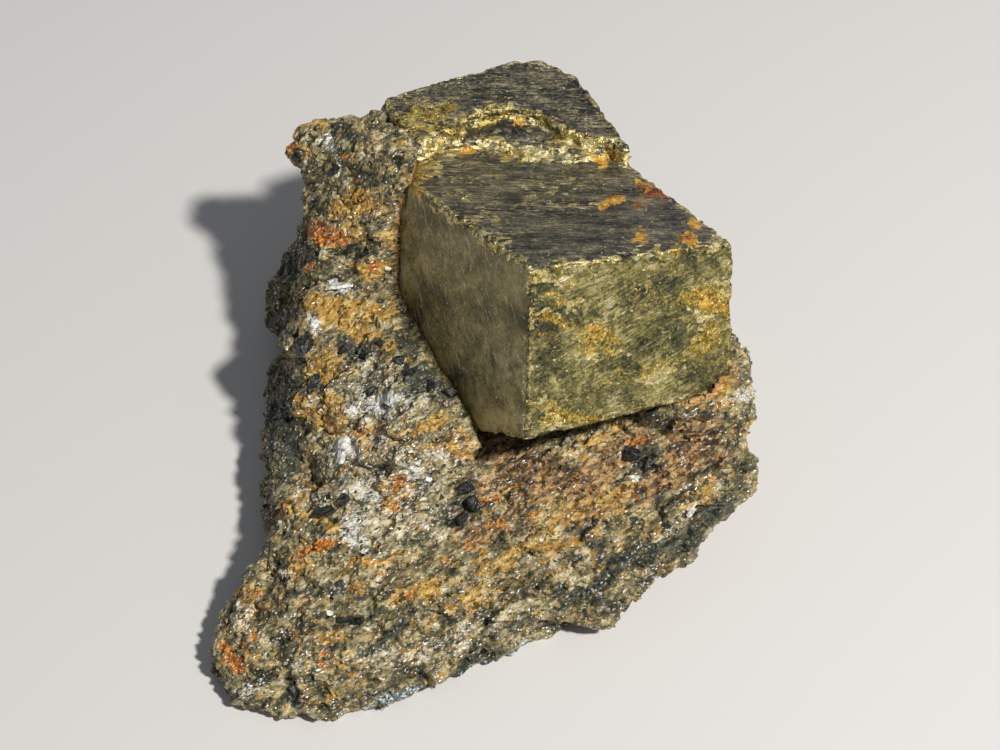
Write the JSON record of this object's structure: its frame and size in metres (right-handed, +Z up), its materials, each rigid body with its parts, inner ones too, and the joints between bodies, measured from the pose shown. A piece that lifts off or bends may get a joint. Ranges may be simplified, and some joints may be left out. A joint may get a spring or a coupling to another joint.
{
  "type": "pyrite crystal in matrix",
  "caption": "Blocky tarnished pyrite crystal with a ragged growth step, seated in an L-shaped piece of mica schist that rests on a flat cut.",
  "frame": {"origin": "bottom centre of the specimen's box, on the flat cut it rests on", "axes": "+Z up, -Y the side whose ledge the picture shows in front, +X to the right of that view"},
  "size_m": [0.051, 0.0648, 0.0354],
  "materials": {
    "tarnished_pyrite": "metallic mineral lustre, brassy gold tarnished to dark olive grey, with limonite spots",
    "chlorite_schist": "rough granular rock with glinting mica, dark green chlorite and ochre rust stain"
  },
  "bodies": {
    "root": {"pyrite_crystal": "tarnished_pyrite", "schist_matrix": "chlorite_schist"}
  },
  "joints": []
}
